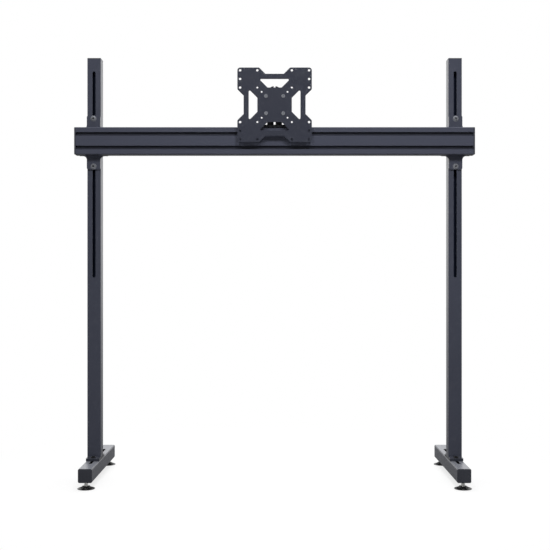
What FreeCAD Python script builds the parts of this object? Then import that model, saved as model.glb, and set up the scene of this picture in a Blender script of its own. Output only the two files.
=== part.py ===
import FreeCAD, Part
import Sketcher
import os
import re

# Free-standing stand for one monitor: two feet, two slotted uprights, a T-slot crossbar and a tilting
# screen plate. Millimetres, X to the right, Y to the back, Z up, origin on the floor under the middle.

DIMENSIONS = {
    # How far a cutter stands out of what it cuts
    "cut_margin": 1,
    # Square tube of the feet and uprights
    "tube": 40,
    "wall": 2,
    "foot_round": 4,
    "upright_round": 1.2,
    "cap_plate": 3,
    "plug_depth": 6,
    "plug_fit": 0.2,
    # Feet and levelling feet
    "stance": 538,
    "foot_length": 400,
    "foot_lift": 20,
    "foot_slot_half": 123,
    "slot_width": 9,
    "leveller_inset": 20,
    "stud_radius": 5,
    "stud_fit": 0.06,
    "stud_top": 50,
    "neck_height": 6.4,
    "neck_radius": 7.2,
    "pad_radius": 25,
    "pad_rim": 1.8,
    "pad_height": 8.6,
    "pad_lip": 1,
    "collar_radius": 11.5,
    "socket_floor": 4.5,
    "insert_radius": 8,
    "insert_flange": 11,
    "insert_flange_height": 3,
    "insert_height": 14,
    # Uprights and their base plates
    "upright_y": -38,
    "upright_top": 1257,
    "base_length": 92,
    "base_plate": 8,
    "base_round": 4,
    "base_bolt_y": 33,
    "slot_bottom": 603,
    "slot_top": 1217,
    # Crossbar
    "bar_length": 1176,
    "bar_height": 80,
    "bar_depth": 40,
    "bar_z": 1004,
    "bar_round": 3,
    "bar_cap": 5,
    "groove_pitch": 40,
    "groove_mouth": 10.5,
    "groove_lip": 4.5,
    "groove_width": 20,
    "groove_floor": 14,
    "groove_depth": 11.5,
    "tnut_room": 2,
    "hollow_height": 14,
    "hollow_depth": 32,
    "core_radius": 3.4,
    "peg_length": 8,
    # Cross-shaped brackets between the bar and the uprights
    "slide_gap": 0.3,
    "bracket_plate": 8,
    "bracket_width": 90,
    "bracket_height": 160,
    "bracket_fillet": 12,
    "bracket_round": 5,
    "slot_bolt_z": 71,
    "bar_bolt_x": 32,
    # M8 fasteners
    "bolt_radius": 4,
    "bolt_hole": 4.5,
    "head_radius": 7,
    "head_height": 4.4,
    "head_top": 4.6,
    "socket_radius": 2.9,
    "socket_depth": 2.6,
    "nut_side": 16,
    "nut_height": 6,
    # Screen mount on top of the bar
    "mount_half": 45,
    "mount_plate": 5,
    "mount_overhang": 10,
    "mount_bolt_x": 33,
    "mount_rear": 12,
    "fork_half": 22,
    "fork_plate": 5,
    "fork_slot": 5.4,
    "fork_rear": 19,
    "fork_height": 117.7,
    "pivot_z": 1103.9,
    "pivot_y": -111,
    "clevis_half": 12,
    "clevis_plate": 3,
    "clevis_height": 44,
    "clevis_bolt_z": 14,
    "small_bolt": 2.5,
    "small_head": 4.75,
    "small_height": 2.8,
    "small_head_top": 3.1,
    "washer_radius": 6,
    "washer_plate": 1,
    "ear_radius": 10,
    "ear_gap": 0.5,
    "pin_radius": 4,
    "pin_fit": 0.06,
    "pin_head": 7,
    "pin_head_height": 5,
    # Screen plate, its windows, notches and hole patterns
    "screen_plate": 3,
    "screen_half": 108,
    "screen_round": 8.5,
    "screen_rear": -134,
    "notch_outer": 45,
    "notch_depth": 18.2,
    "notch_round": 6,
    "window_near": 50,
    "window_far": 75,
    "window_half": 20.5,
    "window_round": 3,
    "yoke_half": 35,
    "yoke_plate": 3,
    "yoke_screw": 25,
    "screw_radius": 3,
    "screw_hole": 3.3,
    "screw_head": 5.5,
    "screw_head_height": 3,
    "screw_head_top": 3.5,
    "screw_nut": 5.5,
    "screw_nut_height": 5,
    "pitch_wide": 200,
    "pitch_long": 150,
    "pitch_common": 100,
    "pitch_small": 75,
    "hole_large": 3.5,
    "hole_middle": 2.75,
    "hole_small": 2.5,
}

doc = FreeCAD.newDocument("MonitorStand")
sheet = doc.addObject("Spreadsheet::Sheet", "Dims")
for row, (alias, size) in enumerate(DIMENSIONS.items(), start=1):
    sheet.set(f"A{row}", alias)
    sheet.set(f"B{row}", str(size))
    sheet.setAlias(f"B{row}", alias)
doc.recompute()

# Places that several sub-parts share, written in the words of the sheet
FOOT_TOP = "(foot_lift + tube)"
BASE_TOP = f"({FOOT_TOP} + base_plate)"
UPRIGHT_FRONT = "(upright_y - tube / 2)"
BRACKET_REAR = f"({UPRIGHT_FRONT} - slide_gap)"
BRACKET_FRONT = f"({BRACKET_REAR} - bracket_plate)"
BAR_FRONT = f"({BRACKET_FRONT} - bar_depth)"
BAR_Y = f"({BAR_FRONT} + bar_depth / 2)"
BAR_TOP = "(bar_z + bar_height / 2)"
TNUT_HEIGHT = "(groove_depth - groove_lip - tnut_room)"
MOUNT_BOTTOM = f"({BAR_TOP} + slide_gap)"
MOUNT_TOP = f"({MOUNT_BOTTOM} + mount_plate)"
FORK_TOP = f"({MOUNT_TOP} + fork_height)"
FORK_REAR = f"({BRACKET_FRONT} - fork_rear)"
FORK_FRONT = f"({FORK_REAR} - fork_plate)"
CLEVIS_FRONT = f"({FORK_FRONT} - clevis_plate)"
YOKE_REAR = "(screen_rear + yoke_plate)"
YOKE_EAR = "(clevis_half + clevis_plate + ear_gap)"

SIDES = {"left": -1, "right": 1}
ENDS = {"front": -1, "rear": 1}
AXES = {"x": (1, 0, 0), "y": (0, 1, 0), "z": (0, 0, 1)}
TURNS = {
    "up": FreeCAD.Rotation(),
    "front": FreeCAD.Rotation(FreeCAD.Vector(1, 0, 0), 90),
    "back": FreeCAD.Rotation(FreeCAD.Vector(1, 0, 0), -90),
    "around": FreeCAD.Rotation(FreeCAD.Vector(1, 0, 0), 180),
    "right": FreeCAD.Rotation(FreeCAD.Vector(0, 1, 0), 90),
}

CLOSE = 1e-6

nodes = []


def sheet_words(text):
    """Turns each word of a size into the sheet's cell of that name."""
    return re.sub(r"[a-z_]+", lambda word: f"Dims.{word.group()}", text)


def bind(thing, prop, text):
    """Ties a property to the sheet."""
    thing.setExpression(prop, sheet_words(text))


def value(text):
    """Works out a size written in the sheet's words."""
    return float(sheet.evalExpression(sheet_words(text)))


def place(thing, corner, turn="up"):
    """Puts a piece at a corner given in the sheet's words, after a turn."""
    thing.Placement = FreeCAD.Placement(FreeCAD.Vector(), TURNS[turn])
    for axis, text in zip("xyz", corner):
        bind(thing, f"Placement.Base.{axis}", text)
    return thing


def box(size, corner, turn="up"):
    solid = doc.addObject("Part::Box", "Block")
    for prop, text in zip(("Length", "Width", "Height"), size):
        bind(solid, prop, text)
    return place(solid, corner, turn)


def cylinder(radius, height, start, turn="up"):
    solid = doc.addObject("Part::Cylinder", "Rod")
    bind(solid, "Radius", radius)
    bind(solid, "Height", height)
    return place(solid, start, turn)


def cone(foot, top, height, start, turn="up"):
    solid = doc.addObject("Part::Cone", "Taper")
    bind(solid, "Radius1", foot)
    bind(solid, "Radius2", top)
    bind(solid, "Height", height)
    return place(solid, start, turn)


def hexagon(radius, height, start, turn="up"):
    solid = doc.addObject("Part::Prism", "Hexagon")
    solid.Polygon = 6
    bind(solid, "Circumradius", radius)
    bind(solid, "Height", height)
    return place(solid, start, turn)


def joined(pieces):
    whole = doc.addObject("Part::MultiFuse", "Joined")
    whole.Shapes = pieces
    whole.Refine = True
    return whole


def cut(piece, tools):
    rest = doc.addObject("Part::Cut", "Cut")
    rest.Base = piece
    rest.Tool = joined(tools) if len(tools) > 1 else tools[0]
    rest.Refine = True
    return rest


def group(pieces):
    """Separate solids that share one node."""
    together = doc.addObject("Part::Compound", "Group")
    together.Links = pieces
    return together


def rounded(piece, along, alias):
    """Rounds the edges of a block that run along one axis."""
    doc.recompute()
    radius = sheet.get(alias)
    blend = doc.addObject("Part::Fillet", "Rounded")
    blend.Base = piece
    axis = FreeCAD.Vector(*AXES[along])
    blend.Edges = [(index, radius, radius) for index, edge in enumerate(piece.Shape.Edges, start=1)
                   if abs(abs(edge.tangentAt(edge.FirstParameter).dot(axis)) - 1) < CLOSE]
    return blend


def node(name, piece):
    """Names a finished sub-part; the name is also its file's name."""
    piece.Label = name
    nodes.append(piece)
    return piece


def bolt(seat, turn, grip, nut=None, sizes="bolt"):
    """A button-head bolt: the seat is under its head, the head points along the turn."""
    radius, head, height, top = {
        "bolt": ("bolt_radius", "head_radius", "head_height", "head_top"),
        "screw": ("screw_radius", "screw_head", "screw_head_height", "screw_head_top"),
        "small": ("small_bolt", "small_head", "small_height", "small_head_top"),
    }[sizes]
    ratio = f"({radius}) / bolt_radius"
    shank = cylinder(radius, f"{grip} + {height} / 2", ("0", "0", f"-({grip})"))
    dome = cone(head, top, height, ("0", "0", "0"))
    pieces = [shank, dome]
    if nut:
        pieces.append(nut)
    depth = f"socket_depth * {ratio}"
    socket = hexagon(f"socket_radius * {ratio}", "head_height", ("0", "0", f"{height} - {depth}"))
    return place(cut(joined(pieces), [socket]), seat, turn)


def block_nut(across, height, grip):
    """A rectangular nut whose clamping face lies at the end of the bolt's grip."""
    corner = ("-nut_side / 2", f"-{across} / 2", f"-{grip} - {height}")
    return box(("nut_side", across, height), corner)


def square_tube(length, corner, along, outer_round):
    """Rounded square tube without its slots, and its inside, from its lower front left corner."""
    inside = "(tube - 2 * wall)"
    outer_size = [length if along == letter else "tube" for letter in "xyz"]
    inner_size = [f"{length} + 2 * cut_margin" if along == letter else inside for letter in "xyz"]
    inner_corner = [f"{text} - cut_margin" if along == letter else f"{text} + wall"
                    for letter, text in zip("xyz", corner)]
    outer = rounded(box(outer_size, corner), along, outer_round)
    return outer, rounded(box(inner_size, inner_corner), along, "wall")


def end_cap(middle, along, plate_start, plug_start, outer_round):
    """A plastic cap: a plate over the end of a tube and a plug inside it."""
    pieces = []
    for across, depth, start, alias in (("tube", "cap_plate", plate_start, outer_round),
                                        ("(tube - 2 * wall - 2 * plug_fit)", "plug_depth", plug_start, "wall")):
        size = [depth if along == letter else across for letter in "xyz"]
        corner = [start if along == letter else f"{text} - {across} / 2" for letter, text in zip("xyz", middle)]
        pieces.append(rounded(box(size, corner), along, alias))
    return joined(pieces)


def slot(half_length, middle, along):
    """Cutter for a straight slot with round ends, through one wall of a tube."""
    x, y, z = middle
    depth = "2 * wall"
    radius = "slot_width / 2"
    reach = f"({half_length} - {radius})"
    if along == "y":
        body = box(("slot_width", f"2 * {reach}", depth), (f"{x} - {radius}", f"{y} - {reach}", z))
        ends = [cylinder(radius, depth, (x, f"{y} + {sign} * {reach}", z)) for sign in (-1, 1)]
    else:
        body = box(("slot_width", depth, f"2 * {reach}"), (f"{x} - {radius}", y, f"{z} - {reach}"))
        ends = [cylinder(radius, depth, (x, y, f"{z} + {sign} * {reach}"), "back") for sign in (-1, 1)]
    return [body, *ends]


# Feet: slotted tubes with plastic end caps and threaded inserts for the levelling feet
def leveller_y(sign):
    return f"{sign} * (foot_length / 2 - leveller_inset)"


for side, sign in SIDES.items():
    x = f"{sign} * stance"
    body_length = "(foot_length - 2 * cap_plate)"
    corner = (f"{x} - tube / 2", f"-{body_length} / 2", "foot_lift")
    outer, inner = square_tube(body_length, corner, "y", "foot_round")
    top_slot = slot("foot_slot_half", (x, "0", f"{FOOT_TOP} - 3 * wall / 2"), "y")
    holes = [cylinder("insert_radius + plug_fit", "3 * wall", (x, leveller_y(end), "foot_lift - wall"))
             for end in ENDS.values()]
    node(f"{side}_foot_tube", cut(outer, [inner, *top_slot, *holes]))

    for end_name, end in ENDS.items():
        plate_y = f"{end} * (foot_length - cap_plate) / 2 - cap_plate / 2"
        plug_y = f"{end} * (foot_length / 2 - cap_plate - plug_depth / 2) - plug_depth / 2"
        middle = (x, "0", f"{FOOT_TOP} - tube / 2")
        node(f"{side}_foot_{end_name}_cap", end_cap(middle, "y", plate_y, plug_y, "foot_round"))

    inserts = []
    for end in ENDS.values():
        bush = cylinder("insert_radius", "insert_height", (x, leveller_y(end), "foot_lift"))
        flange = cylinder("insert_flange", "insert_flange_height", (x, leveller_y(end), "foot_lift + wall"))
        bore = cylinder("stud_radius + stud_fit", "insert_height + 2 * cut_margin",
                        (x, leveller_y(end), "foot_lift - cut_margin"))
        inserts.append(cut(joined([bush, flange]), [bore]))
    node(f"{side}_foot_inserts", group(inserts))

# Levelling feet: a stud with a flared neck, seated in a round pad
for side, sign in SIDES.items():
    for end_name, end in ENDS.items():
        x, y = f"{sign} * stance", leveller_y(end)
        rod = cylinder("stud_radius", "stud_top - socket_floor", (x, y, "socket_floor"))
        neck = cone("neck_radius", "stud_radius", "neck_height", (x, y, "pad_height"))
        node(f"{side}_{end_name}_stud", joined([rod, neck]))
        rim = cylinder("pad_radius", "pad_rim", (x, y, "0"))
        slope = cone("pad_radius - pad_lip", "collar_radius", "(pad_height - pad_rim) / 2", (x, y, "pad_rim"))
        collar = cylinder("collar_radius", "pad_height - pad_rim", (x, y, "pad_rim"))
        seat = cylinder("stud_radius + plug_fit", "pad_height", (x, y, "socket_floor"))
        node(f"{side}_{end_name}_pad", cut(joined([rim, slope, collar]), [seat]))

# Uprights: slotted tubes on bolted base plates
for side, sign in SIDES.items():
    x = f"{sign} * stance"
    length = f"(upright_top - cap_plate - {BASE_TOP})"
    corner = (f"{x} - tube / 2", UPRIGHT_FRONT, BASE_TOP)
    outer, inner = square_tube(length, corner, "z", "upright_round")
    middle = (x, f"{UPRIGHT_FRONT} - wall / 2", "(slot_top + slot_bottom) / 2")
    front_slot = slot("((slot_top - slot_bottom) / 2)", middle, "z")
    node(f"{side}_upright", cut(outer, [inner, *front_slot]))

    plate_z = "upright_top - cap_plate"
    cap = end_cap((x, "upright_y", "0"), "z", plate_z, f"{plate_z} - plug_depth", "upright_round")
    node(f"{side}_upright_cap", cap)

    plate = rounded(box(("tube", "base_length", "base_plate"),
                        (f"{x} - tube / 2", "upright_y - base_length / 2", FOOT_TOP)), "z", "base_round")
    bolt_places = [f"upright_y + {end} * base_bolt_y" for end in ENDS.values()]
    holes = [cylinder("bolt_hole", "2 * base_plate", (x, y, f"{FOOT_TOP} - base_plate / 2"))
             for y in bolt_places]
    node(f"{side}_base_plate", cut(plate, holes))
    grip = "(base_plate + wall)"
    node(f"{side}_base_bolts", group([
        bolt((x, y, BASE_TOP), "up", f"{grip} + nut_height", block_nut("nut_side", "nut_height", grip))
        for y in bolt_places]))

# Crossbar: T-slot extrusion with two grooves in each tall side and one in each narrow side
RUN = "(bar_length + 2 * cut_margin)"


def groove(face, turn):
    """Cutter of one groove: a narrow mouth, then a channel that narrows inwards."""
    mouth = box((RUN, "groove_lip + 2 * cut_margin", "groove_mouth"),
                (f"-{RUN} / 2", "-cut_margin", "-groove_mouth / 2"))
    channel = doc.addObject("Part::Wedge", "Channel")
    limits = {"X": RUN, "X2": RUN, "Z": "groove_width", "Z2": "groove_floor"}
    for letter, width in limits.items():
        bind(channel, f"{letter}min", f"-{width} / 2")
        bind(channel, f"{letter}max", f"{width} / 2")
    bind(channel, "Ymin", "groove_lip")
    bind(channel, "Ymax", "groove_depth")
    return place(joined([mouth, channel]), face, turn)


profile_length = "(bar_length - 2 * bar_cap)"
blank = rounded(box((profile_length, "bar_depth", "bar_height"),
                    (f"-{profile_length} / 2", BAR_FRONT, "bar_z - bar_height / 2")), "x", "bar_round")
cutters = [groove(("0", BAR_Y, BAR_TOP), "back"), groove(("0", BAR_Y, "bar_z - bar_height / 2"), "front")]
for level in (-1, 1):
    row_z = f"(bar_z + {level} * groove_pitch / 2)"
    cutters.append(groove(("0", BAR_FRONT, row_z), "up"))
    cutters.append(groove(("0", BRACKET_FRONT, row_z), "around"))
    cutters.append(cylinder("core_radius", RUN, (f"-{RUN} / 2", BAR_Y, row_z), "right"))
cutters.append(box((RUN, "hollow_depth", "hollow_height"),
                   (f"-{RUN} / 2", f"{BAR_Y} - hollow_depth / 2", "bar_z - hollow_height / 2")))
node("crossbar", cut(blank, cutters))

for side, sign in SIDES.items():
    start = f"{sign} * (bar_length - bar_cap) / 2 - bar_cap / 2"
    plate = rounded(box(("bar_cap", "bar_depth", "bar_height"), (start, BAR_FRONT, "bar_z - bar_height / 2")),
                    "x", "bar_round")
    peg_start = f"{sign} * (bar_length / 2 - bar_cap - peg_length / 2) - peg_length / 2"
    pegs = [cylinder("core_radius - plug_fit", "peg_length",
                     (peg_start, BAR_Y, f"bar_z + {level} * groove_pitch / 2"), "right") for level in (-1, 1)]
    node(f"crossbar_{side}_cap", joined([plate, *pegs]))


# Plates cut from sheet: a sketch of the outline seen from the front, padded forward from the rear face
def plate_body(label, corner):
    body = doc.addObject("PartDesign::Body", label)
    place(body, corner)
    return body


def new_sketch(body):
    sketch = body.newObject("Sketcher::SketchObject", "Outline")
    plane = next(item for item in body.Origin.OriginFeatures if item.Role == "XZ_Plane")
    sketch.AttachmentSupport = [(plane, "")]
    sketch.MapMode = "FlatFace"
    return sketch


def hold_point(sketch, shape, point, place_text):
    """Fixes a point of the sketch at a place given in the sheet's words."""
    for kind, text in zip(("DistanceX", "DistanceY"), place_text):
        number = sketch.addConstraint(Sketcher.Constraint(kind, -1, 1, shape, point, value(text)))
        bind(sketch, f"Constraints[{number}]", text)


def add_polygon(sketch, corners):
    points = [FreeCAD.Vector(value(u), value(v), 0) for u, v in corners]
    first = sketch.GeometryCount
    count = len(points)
    for index in range(count):
        sketch.addGeometry(Part.LineSegment(points[index], points[(index + 1) % count]))
    for index in range(count):
        after = first + (index + 1) % count
        sketch.addConstraint(Sketcher.Constraint("Coincident", first + index, 2, after, 1))
    for index, corner in enumerate(corners):
        hold_point(sketch, first + index, 1, corner)


def add_circle(sketch, middle, radius):
    point = FreeCAD.Vector(value(middle[0]), value(middle[1]), 0)
    shape = sketch.addGeometry(Part.Circle(point, FreeCAD.Vector(0, 0, 1), value(radius)))
    number = sketch.addConstraint(Sketcher.Constraint("Radius", shape, value(radius)))
    bind(sketch, f"Constraints[{number}]", radius)
    hold_point(sketch, shape, 3, middle)


def pad(body, sketch, thickness):
    solid = body.newObject("PartDesign::Pad", "Pad")
    solid.Profile = sketch
    bind(solid, "Length", thickness)
    doc.recompute()
    return solid


def pocket(body, sketch):
    hole = body.newObject("PartDesign::Pocket", "Pocket")
    hole.Profile = sketch
    hole.Type = "ThroughAll"
    hole.Reversed = True
    doc.recompute()
    return hole


def fillet(body, base, alias, corners):
    """Rounds the plate's edges that stand on the given corners."""
    wanted = [(value(u), value(v)) for u, v in corners]
    edges = []
    for index, edge in enumerate(base.Shape.Edges, start=1):
        start, end = (vertex.Point for vertex in (edge.Vertexes[0], edge.Vertexes[-1]))
        across = abs(start.x - end.x) + abs(start.z - end.z) < CLOSE < edge.Length
        if across and any(abs(start.x - u) + abs(start.z - v) < CLOSE for u, v in wanted):
            edges.append(f"Edge{index}")
    blend = body.newObject("PartDesign::Fillet", "Round")
    blend.Base = (base, edges)
    bind(blend, "Radius", alias)
    doc.recompute()
    return blend


def four_sides(corners):
    """The same corners on all four sides of a square plate, in order around it."""
    whole = []
    for _ in range(4):
        whole.append(corners)
        corners = [(v, f"-({u})") for u, v in corners]
    return whole


# Brackets, each with two bolts into a nut bar in the upright and four bolts into the bar's rear grooves
CROSS = [("tube / 2", "bracket_height / 2"), ("tube / 2", "bar_height / 2"),
         ("bracket_width / 2", "bar_height / 2"), ("bracket_width / 2", "-bar_height / 2"),
         ("tube / 2", "-bar_height / 2"), ("tube / 2", "-bracket_height / 2")]
CROSS += [(f"-{u}", v) for u, v in reversed(CROSS)]
INNER_CORNERS = [corner for corner in CROSS if "tube" in corner[0] and "bar_height" in corner[1]]
OUTER_CORNERS = [corner for corner in CROSS if corner not in INNER_CORNERS]

for side, sign in SIDES.items():
    x = f"{sign} * stance"
    body = plate_body(f"{side}_bar_bracket", (x, BRACKET_REAR, "bar_z"))
    outline = new_sketch(body)
    add_polygon(outline, CROSS)
    solid = pad(body, outline, "bracket_plate")
    drilling = new_sketch(body)
    for level in (-1, 1):
        add_circle(drilling, ("0", f"{level} * slot_bolt_z"), "bolt_hole")
        for hand in (-1, 1):
            add_circle(drilling, (f"{hand} * bar_bolt_x", f"{level} * groove_pitch / 2"), "bolt_hole")
    solid = pocket(body, drilling)
    solid = fillet(body, solid, "bracket_fillet", INNER_CORNERS)
    fillet(body, solid, "bracket_round", OUTER_CORNERS)
    node(f"{side}_bar_bracket", body)

    grip = "(bracket_plate + 2 * slide_gap + wall)"
    nut_bar = box(("nut_side", "nut_height", "2 * slot_bolt_z + nut_side"),
                  (f"{x} - nut_side / 2", f"{BRACKET_FRONT} + {grip}", "bar_z - slot_bolt_z - nut_side / 2"))
    slot_bolts = [bolt((x, BRACKET_FRONT, f"bar_z + {level} * slot_bolt_z"), "front", f"{grip} + nut_height")
                  for level in (-1, 1)]
    node(f"{side}_bracket_bolts", joined([nut_bar, *slot_bolts]))

    grip = "(bracket_plate + groove_lip)"
    node(f"{side}_bar_bolts", group([
        bolt((f"{x} + {hand} * bar_bolt_x", BRACKET_REAR, f"bar_z + {level} * groove_pitch / 2"), "back",
             f"{grip} + {TNUT_HEIGHT}", block_nut("groove_floor", TNUT_HEIGHT, grip))
        for level in (-1, 1) for hand in (-1, 1)]))

# Screen mount: base plate on the bar with a forked upright plate, a clevis and the tilt pin
base_y = f"({BAR_FRONT} - mount_overhang)"
base_depth = f"({BRACKET_FRONT} - mount_rear - {base_y})"
base = rounded(box(("2 * mount_half", base_depth, "mount_plate"), ("-mount_half", base_y, MOUNT_BOTTOM)),
               "z", "base_round")
base_holes = [cylinder("bolt_hole", "3 * mount_plate",
                       (f"{hand} * mount_bolt_x", BAR_Y, f"{MOUNT_BOTTOM} - mount_plate")) for hand in (-1, 1)]
blade_height = "(fork_height - fork_half)"
blade = box(("2 * fork_half", "fork_plate", f"{blade_height} + mount_plate / 2"),
            ("-fork_half", FORK_FRONT, f"{MOUNT_TOP} - mount_plate / 2"))
crown = cylinder("fork_half", "fork_plate", ("0", FORK_FRONT, f"{FORK_TOP} - fork_half"), "back")
opening = box(("fork_slot", "3 * fork_plate", "fork_height"),
              ("-fork_slot / 2", f"{FORK_FRONT} - fork_plate", f"{MOUNT_TOP} + slide_gap"))
node("mount_fork", cut(joined([cut(base, base_holes), blade, crown]), [opening]))

grip = "(mount_plate + 2 * slide_gap + groove_lip)"
node("mount_base_bolts", group([
    bolt((f"{hand} * mount_bolt_x", BAR_Y, MOUNT_TOP), "up", f"{grip} + {TNUT_HEIGHT}",
         block_nut("groove_floor", TNUT_HEIGHT, grip)) for hand in (-1, 1)]))


def eared_plate(half_width, half_height, plate_y, thickness, ear_x, ear_start, ear_length, bore):
    """A plate with two ears that carry the tilt pin."""
    back = box((f"2 * {half_width}", thickness, f"2 * {half_height}"),
               (f"-{half_width}", plate_y, f"pivot_z - {half_height}"))
    pieces = [back]
    for hand in (-1, 1):
        side_x = f"{hand} * ({ear_x} + clevis_plate / 2) - clevis_plate / 2"
        pieces.append(box(("clevis_plate", ear_length, "2 * ear_radius"),
                          (side_x, ear_start, "pivot_z - ear_radius")))
        pieces.append(cylinder("ear_radius", "clevis_plate", (side_x, "pivot_y", "pivot_z"), "right"))
    span = f"2 * ({ear_x} + 2 * clevis_plate)"
    return cut(joined(pieces), [cylinder(bore, span, (f"-{span} / 2", "pivot_y", "pivot_z"), "right")])


clevis_half = "(clevis_half + clevis_plate)"
clevis = eared_plate(clevis_half, "(clevis_height / 2)", CLEVIS_FRONT, "clevis_plate", "clevis_half",
                     "pivot_y", f"{FORK_FRONT} - pivot_y", "pin_radius + plug_fit")
clevis_places = [f"pivot_z + {level} * clevis_bolt_z" for level in (-1, 1)]
node("tilt_clevis", cut(clevis, [
    cylinder("small_bolt + plug_fit", "3 * clevis_plate", ("0", f"{FORK_FRONT} + clevis_plate", z), "front")
    for z in clevis_places]))

clevis_bolts = []
for z in clevis_places:
    washer = cylinder("washer_radius", "washer_plate", ("0", FORK_REAR, z), "back")
    grip = "(washer_plate + fork_plate + clevis_plate + small_height)"
    fixing = bolt(("0", f"{FORK_REAR} + washer_plate", z), "back", grip, None, "small")
    nut = hexagon("small_head", "small_height", ("0", CLEVIS_FRONT, z), "front")
    clevis_bolts.append(joined([washer, fixing, nut]))
node("clevis_bolts", group(clevis_bolts))

reach = f"({YOKE_EAR} + clevis_plate + slide_gap)"
node("tilt_pin", joined([
    cylinder("pin_radius", f"2 * {reach}", (f"-{reach}", "pivot_y", "pivot_z"), "right"),
    cylinder("pin_head", "pin_head_height", (reach, "pivot_y", "pivot_z"), "right"),
    hexagon("pin_head", "pin_head_height", (f"-{reach} - pin_head_height", "pivot_y", "pivot_z"), "right")]))

# Screen plate with the common hole patterns, and the yoke behind it that tilts on the pin
body = plate_body("vesa_plate", ("0", "screen_rear", "pivot_z"))
outline = new_sketch(body)
notch_inner = "(notch_outer - notch_depth)"
edge = [("-screen_half", "screen_half"), ("-notch_outer", "screen_half"),
        (f"-{notch_inner}", "screen_half - notch_depth"), (notch_inner, "screen_half - notch_depth"),
        ("notch_outer", "screen_half")]
add_polygon(outline, [corner for side in four_sides(edge) for corner in side])
solid = pad(body, outline, "screen_plate")
solid = fillet(body, solid, "screen_round", [side[0] for side in four_sides(edge)])
solid = fillet(body, solid, "notch_round", [side[end] for side in four_sides(edge) for end in (1, -1)])

windows = new_sketch(body)
window_outer = "(window_half + window_far - window_near)"
window = [("-window_half", "window_near"), (f"-{window_outer}", "window_far"),
          (window_outer, "window_far"), ("window_half", "window_near")]
for corners in four_sides(window):
    add_polygon(windows, corners)
solid = pocket(body, windows)
solid = fillet(body, solid, "window_round", [corner for side in four_sides(window) for corner in side])

drilling = new_sketch(body)
PATTERNS = [("pitch_wide", "pitch_wide", "hole_large"), ("pitch_wide", "pitch_long", "hole_large"),
            ("pitch_wide", "pitch_common", "hole_large"), ("pitch_common", "pitch_wide", "hole_large"),
            ("pitch_common", "pitch_common", "hole_middle"), ("pitch_small", "pitch_small", "hole_small"),
            ("2 * yoke_screw", "2 * yoke_screw", "screw_hole")]
for across, upward, radius in PATTERNS:
    for hand in (-1, 1):
        for level in (-1, 1):
            add_circle(drilling, (f"{hand} * {across} / 2", f"{level} * {upward} / 2"), radius)
pocket(body, drilling)
node("vesa_plate", body)

yoke_places = [(f"{hand} * yoke_screw", f"pivot_z + {level} * yoke_screw")
               for level in (-1, 1) for hand in (-1, 1)]
yoke = eared_plate("yoke_half", "yoke_half", "screen_rear", "yoke_plate", YOKE_EAR,
                   "screen_rear", "pivot_y - screen_rear", "pin_radius + pin_fit")
node("tilt_yoke", cut(yoke, [
    cylinder("screw_hole", "3 * yoke_plate", (x, f"{YOKE_REAR} + yoke_plate", z), "front")
    for x, z in yoke_places]))

grip = "(screen_plate + yoke_plate)"
yoke_screws = []
for x, z in yoke_places:
    nut = hexagon("screw_nut", "screw_nut_height", ("0", "0", f"-{grip} - screw_nut_height"))
    seat = (x, "screen_rear - screen_plate", z)
    yoke_screws.append(bolt(seat, "front", f"{grip} + screw_nut_height", nut, "screw"))
node("yoke_screws", group(yoke_screws))

# Checks, then one file for each sub-part
doc.recompute()
for thing in doc.Objects:
    assert not {"Invalid", "Error"} & set(thing.State), f"{thing.Label} failed: {thing.State}"
for piece in nodes:
    assert not piece.Shape.isNull() and piece.Shape.isValid(), f"{piece.Label} has no valid shape"

os.makedirs("parts", exist_ok=True)
for piece in nodes:
    piece.Shape.exportStep(f"parts/{piece.Label}.step")
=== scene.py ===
import bpy
import math
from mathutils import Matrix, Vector


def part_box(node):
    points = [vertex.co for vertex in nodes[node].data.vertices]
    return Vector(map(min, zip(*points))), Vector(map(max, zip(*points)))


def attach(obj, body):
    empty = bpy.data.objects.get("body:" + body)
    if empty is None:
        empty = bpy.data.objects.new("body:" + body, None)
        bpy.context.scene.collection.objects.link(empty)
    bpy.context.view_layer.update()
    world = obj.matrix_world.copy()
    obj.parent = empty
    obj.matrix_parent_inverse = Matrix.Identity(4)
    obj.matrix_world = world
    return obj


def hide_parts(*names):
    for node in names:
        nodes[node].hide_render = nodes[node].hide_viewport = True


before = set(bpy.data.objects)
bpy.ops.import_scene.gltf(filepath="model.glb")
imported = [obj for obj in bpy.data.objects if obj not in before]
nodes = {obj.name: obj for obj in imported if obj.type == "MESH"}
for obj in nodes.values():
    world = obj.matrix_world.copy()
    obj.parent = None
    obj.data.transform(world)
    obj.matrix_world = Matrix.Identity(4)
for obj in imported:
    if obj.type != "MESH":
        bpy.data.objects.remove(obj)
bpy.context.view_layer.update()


# Feet: two 40 mm square steel tubes, cut to length and slotted along the top, then powder coated in
# a dark slate grey. The coat is satin, with a fine orange peel, and a little thinner on its edges.
class Value:
    """One output of a node. Sums and products of values add Math nodes to the same tree."""

    def __init__(self, tree, socket):
        self.tree = tree
        self.socket = socket

    def math(self, operation, first, second=0.0):
        return add_node(self.tree, "ShaderNodeMath", {"operation": operation},
                        {0: first, 1: second})

    def __add__(self, other):
        return self.math("ADD", self, other)

    def __sub__(self, other):
        return self.math("SUBTRACT", self, other)

    def __rsub__(self, other):
        return self.math("SUBTRACT", other, self)

    def __mul__(self, other):
        return self.math("MULTIPLY", self, other)

    __radd__ = __add__
    __rmul__ = __mul__


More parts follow.
